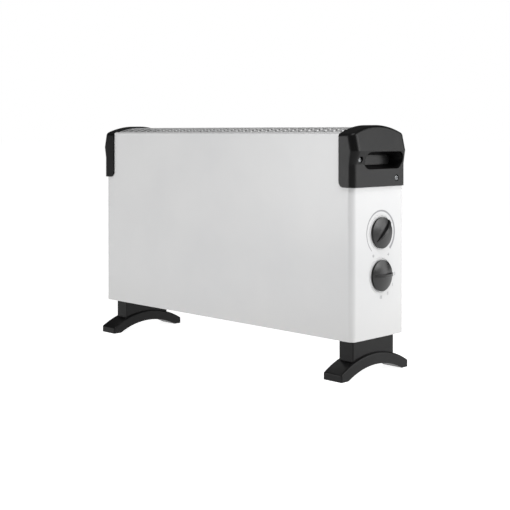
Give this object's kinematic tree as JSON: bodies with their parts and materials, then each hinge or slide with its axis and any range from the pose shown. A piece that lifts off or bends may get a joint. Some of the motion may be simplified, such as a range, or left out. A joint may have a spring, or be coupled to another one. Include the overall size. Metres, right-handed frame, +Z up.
{
  "type": "panel heater",
  "caption": "Free-standing convector panel heater: white sheet-steel body with a slotted top grille, black end caps with finger pockets, arched feet and turning knobs.",
  "frame": {"origin": "on the floor, midway between the two feet", "axes": "+X along the heater towards the end with the knobs, +Y from the front panel to the back panel, +Z up"},
  "size_m": [0.5485, 0.1432, 0.338],
  "materials": {
    "white_paint": "smooth satin white powder coat",
    "black_plastic": "fine textured black plastic",
    "bright_steel": "bright zinc plated steel",
    "galvanised_steel": "galvanised sheet",
    "fin_aluminium": "mill finish aluminium",
    "sheath_steel": "dark stainless sheath",
    "ceramic": "unglazed steatite ceramic",
    "brass": "stamped brass",
    "phenolic": "moulded phenolic",
    "nylon": "natural nylon",
    "lead_sleeve": "silicone insulated wire",
    "earth_sleeve": "silicone insulated wire"
  },
  "bodies": {
    "housing": {"back_panel": "white_paint", "back_screws": "bright_steel", "bottom_tray": "white_paint", "cap_screws": "bright_steel", "cord_gland": "black_plastic", "cutout_lead": "lead_sleeve", "cutout_screws": "bright_steel", "cutout_tabs": "brass", "earth_lead": "earth_sleeve", "earth_screw": "bright_steel", "earth_tag": "brass", "element_bracket": "galvanised_steel", "element_collars": "ceramic", "element_fins_front": "fin_aluminium", "element_fins_rear": "fin_aluminium", "element_lead_front": "lead_sleeve", "element_lead_rear": "lead_sleeve", "element_pins": "sheath_steel", "end_cap_left": "black_plastic", "end_cap_right": "black_plastic", "foot_left": "black_plastic", "foot_nuts": "bright_steel", "foot_right": "black_plastic", "foot_screws": "bright_steel", "front_casing": "white_paint", "gland_nut": "black_plastic", "heat_baffle": "galvanised_steel", "heating_tube_front": "sheath_steel", "heating_tube_rear": "sheath_steel", "lead_grommets": "lead_sleeve", "neutral_lead": "lead_sleeve", "neutral_link": "brass", "selector_screws": "bright_steel", "selector_switch": "phenolic", "selector_tabs": "brass", "stand_screws": "bright_steel", "supply_lead": "lead_sleeve", "terminal_block": "nylon", "terminal_screws": "bright_steel", "thermal_cutout": "phenolic", "thermostat_body": "phenolic", "thermostat_lead": "lead_sleeve", "thermostat_screws": "bright_steel", "thermostat_tabs": "brass", "top_grille": "white_paint"},
    "thermostat_dial": {"thermostat_knob": "black_plastic", "thermostat_spindle": "brass"},
    "selector_dial": {"selector_knob": "black_plastic", "selector_spindle": "brass"}
  },
  "joints": [
    {"name": "thermostat_turn", "type": "hinge", "parent": "housing", "child": "thermostat_dial", "pos_m": [0.265, 0.002, 0.1925], "axis": [1, 0, 0], "range_deg": [-93, 187]},
    {"name": "selector_turn", "type": "hinge", "parent": "housing", "child": "selector_dial", "pos_m": [0.265, 0.002, 0.1347], "axis": [1, 0, 0], "range_deg": [-90, 0]}
  ]
}
